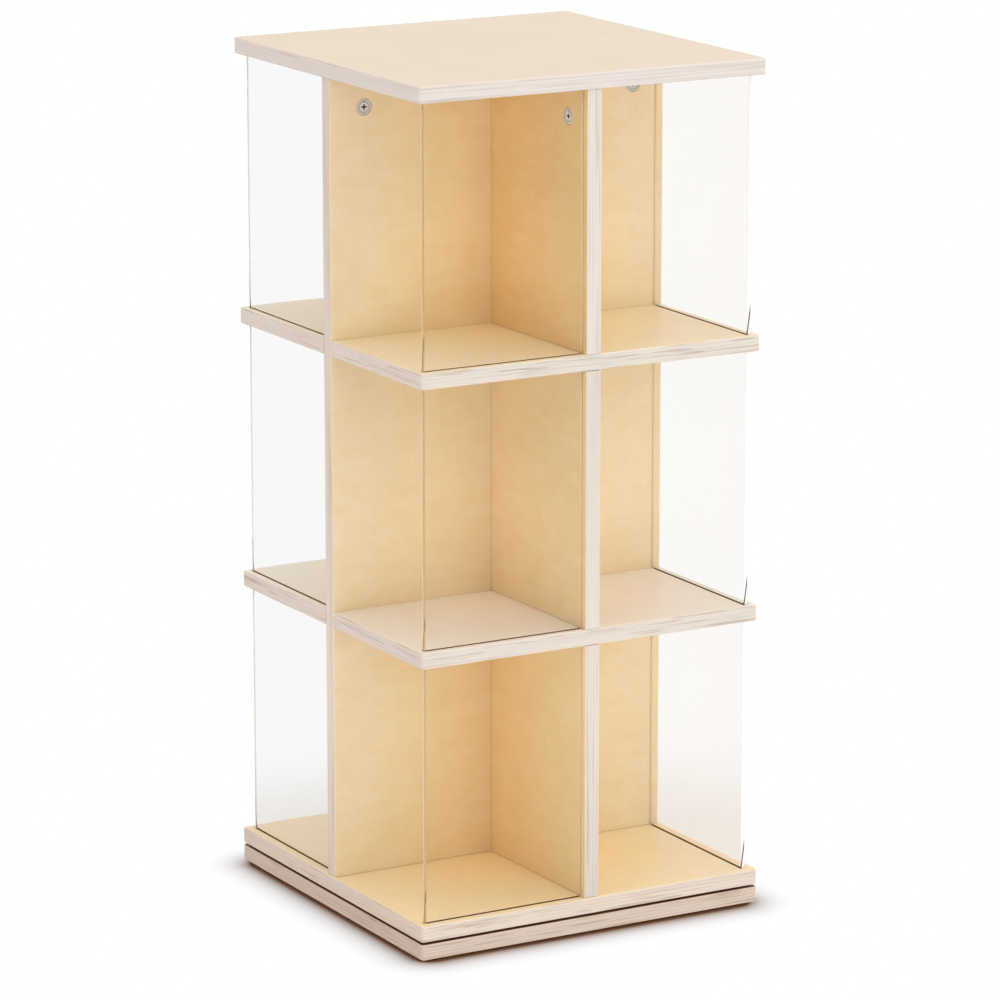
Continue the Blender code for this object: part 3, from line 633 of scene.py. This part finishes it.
def build_pieces():
    clear = clear_acrylic()
    # Painted through the sheet: cream and tan stand for the wood behind the ends, brown for the shaded grooves, and
    # the dark and brown foot lines for the groove below. Only the white is the sanded ends' own colour.
    white = (0.95, 0.955, 0.95)
    cream = (0.88, 0.66, 0.38)
    tan = (0.58, 0.37, 0.17)
    brown = (0.3, 0.16, 0.05)
    dark = (0.09, 0.075, 0.045)
    pale_end = satin_acrylic("pale_end", 0, white, white, dark)
    painted_wood_end = satin_acrylic("painted_wood_end", 1, cream, tan, brown)
    inner_end = satin_acrylic("inner_end", 1, cream, cream, cream)
    groove_shade_edge = satin_acrylic("groove_shade_edge", 1, brown, brown, brown)
    nickel = plated_metal("nickel_plated_zinc", (0.86, 0.85, 0.85), (0.97, 0.96, 0.96), 0.3, 0.42, 0.25)
    # painted shade: darker copies of the nickel for the trough and for the cross and mark
    trough_shade = plated_metal("nickel_trough_shade", (0.5, 0.48, 0.47), (0.68, 0.66, 0.65), 0.4, 0.55, 0.3)
    recess = plated_metal("dark_recess", (0.02, 0.018, 0.016), (0.05, 0.046, 0.042), 0.5, 0.7, 0.4)
    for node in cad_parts:
        if node.startswith(("front_pane", "back_pane")):
            build_pane(node, clear, painted_wood_end, inner_end, groove_shade_edge)
        elif "_pane_" in node:
            build_pane(node, clear, pale_end, inner_end, groove_shade_edge)
    for node, facing in CAM_FACINGS.items():
        build_cam(node, facing, nickel, trough_shade, recess)


# Studio


def bearing(azimuth, elevation):
    """The direction from the bookcase at an azimuth right of its front, and an elevation."""
    level = math.cos(elevation)
    return Vector((math.sin(azimuth) * level, -math.cos(azimuth) * level, math.sin(elevation)))


def mirrored_rays(graph, path):
    """1 on rays that were mirrored on their way."""
    return graph.math("GREATER_THAN", path["Glossy Depth"], 0.5)


def seen_rays(graph, path):
    """1 on rays that show a thing straight, mirrored or through a pane, and 0 on those that only light it."""
    is_seen = graph.math("MAXIMUM", path["Is Transmission Ray"], path["Is Glossy Ray"])
    return graph.math("MAXIMUM", is_seen, path["Is Camera Ray"])


def shown_level(graph, is_mirrored, direction):
    """Brightness of the studio where it is seen: plain white, or by direction from the bookcase if mirrored."""
    level = graph.ramp(graph.split(direction)[2], *MIRRORED_STEP, *MIRRORED_LEVELS)
    towards = {0: direction, 1: bearing(*DARK_SIDE)}
    facing = graph.add("ShaderNodeVectorMath", towards, operation="DOT_PRODUCT").outputs["Value"]
    level = graph.blend(graph.ramp(facing, *DARK_SIDE_RIM), level, DARK_SIDE_LEVEL)
    return graph.blend(is_mirrored, 1.0, level)


def build_floor():
    """A pale disc that turns to plain white away from the bookcase, or to the studio's level in reflections."""
    mesh = bpy.data.meshes.new("floor")
    disc = bmesh.new()
    bmesh.ops.create_circle(disc, cap_ends=True, segments=FLOOR_STEPS, radius=FLOOR_RADIUS)
    disc.to_mesh(mesh)
    disc.free()
    floor = bpy.data.objects.new("floor", mesh)
    bpy.context.collection.objects.link(floor)
    material, graph, shader = new_material("white_floor")
    shader.inputs["Roughness"].default_value = 0.9
    shader.inputs["Specular IOR Level"].default_value = 0
    place = graph.place()
    across, along, _ = graph.split(place)
    outside = [
        graph.math("MAXIMUM", graph.math("SUBTRACT", graph.math("ABSOLUTE", value), cad_high.x - FLOOR_ROUND), 0.0)
        for value in (across, along)
    ]
    from_base = graph.add("ShaderNodeVectorMath", {0: graph.vector(*outside)}, operation="LENGTH").outputs["Value"]
    from_base = graph.math("MAXIMUM", graph.math("SUBTRACT", from_base, FLOOR_ROUND), 0.0)
    path = graph.add("ShaderNodeLightPath", {}).outputs
    graph.feed(shader.inputs["Base Color"], graph.mix(path["Is Camera Ray"], FLOOR_COLOR, FLOOR_SHADE))
    is_mirrored = mirrored_rays(graph, path)
    behind_panes = graph.ramp(from_base, *FLOOR_WHITE_THROUGH)
    share = graph.blend(is_mirrored, behind_panes, graph.ramp(from_base, *FLOOR_WHITE_MIRRORED))
    shade = graph.math("EXPONENT", graph.math("MULTIPLY", from_base, -1 / FLOOR_FADE))
    shade = graph.math("MAXIMUM", graph.math("MULTIPLY_ADD", shade, 1 + FLOOR_TAIL, -FLOOR_TAIL), 0.0)
    share = graph.blend(path["Is Camera Ray"], share, graph.math("SUBTRACT", 1.0, shade))
    direction = graph.add("ShaderNodeVectorMath", {0: place}, operation="NORMALIZE").outputs["Vector"]
    level = shown_level(graph, is_mirrored, direction)
    plain = graph.add("ShaderNodeEmission", {"Strength": level})
    factor = graph.math("MULTIPLY", share, seen_rays(graph, path))
    mixed = graph.add("ShaderNodeMixShader", {0: factor, 1: shader.outputs[0], 2: plain.outputs[0]})
    graph.feed(material.node_tree.nodes["Material Output"].inputs["Surface"], mixed.outputs[0])
    mesh.materials.append(material)


def build_world():
    """White where the background shows, dimmer in reflections, and soft light elsewhere."""
    world = bpy.data.worlds.new("studio")
    world.use_nodes = True
    graph = Graph(world.node_tree)
    background = world.node_tree.nodes["Background"]
    background.inputs["Color"].default_value = (1, 1, 1, 1)
    direction = graph.add("ShaderNodeTexCoord", {}).outputs["Generated"]
    path = graph.add("ShaderNodeLightPath", {}).outputs
    shown = shown_level(graph, mirrored_rays(graph, path), direction)
    height = graph.split(direction)[2]
    room = ROOM_LEVELS[0]
    for step, level in zip(ROOM_STEPS, ROOM_LEVELS[1:]):
        room = graph.blend(graph.ramp(height, *step), room, level)
    graph.feed(background.inputs["Strength"], graph.blend(seen_rays(graph, path), room, shown))
    bpy.context.scene.world = world


def build_softbox(name, azimuth, elevation, power):
    """A square soft lamp that faces the bookcase from an azimuth and an elevation in degrees."""
    data = bpy.data.lights.new(name, "AREA")
    data.shape = "SQUARE"
    data.size = LAMP_SIZE
    data.energy = power
    lamp = bpy.data.objects.new(name, data)
    middle = (cad_low + cad_high) / 2
    away = bearing(math.radians(azimuth), math.radians(elevation))
    lamp.location = middle + away * LAMP_DISTANCE
    lamp.rotation_euler = (-away).to_track_quat("-Z", "Y").to_euler()
    lamp.visible_camera = False
    lamp.visible_glossy = False
    lamp.visible_transmission = False
    bpy.context.collection.objects.link(lamp)


def build_camera():
    data = bpy.data.cameras.new("camera")
    data.lens = CAMERA_LENS
    data.sensor_width = SENSOR_WIDTH
    camera = bpy.data.objects.new("camera", data)
    back = bearing(CAMERA_AZIMUTH, CAMERA_ELEVATION)
    right = bearing(CAMERA_AZIMUTH + math.pi / 2, 0)
    aim = (cad_low + cad_high) / 2 + right * AIM_SIDEWAYS + UP * AIM_UP
    camera.location = aim + back * CAMERA_DISTANCE
    camera.rotation_euler = (-back).to_track_quat("-Z", "Y").to_euler()
    bpy.context.collection.objects.link(camera)
    bpy.context.scene.camera = camera


build_camera()
dress_boards()
dress_fittings()
build_pieces()
build_floor()
build_world()
for lamp_name, aim in LAMPS.items():
    build_softbox(lamp_name, *aim)
bpy.context.scene.view_settings.view_transform = "Standard"
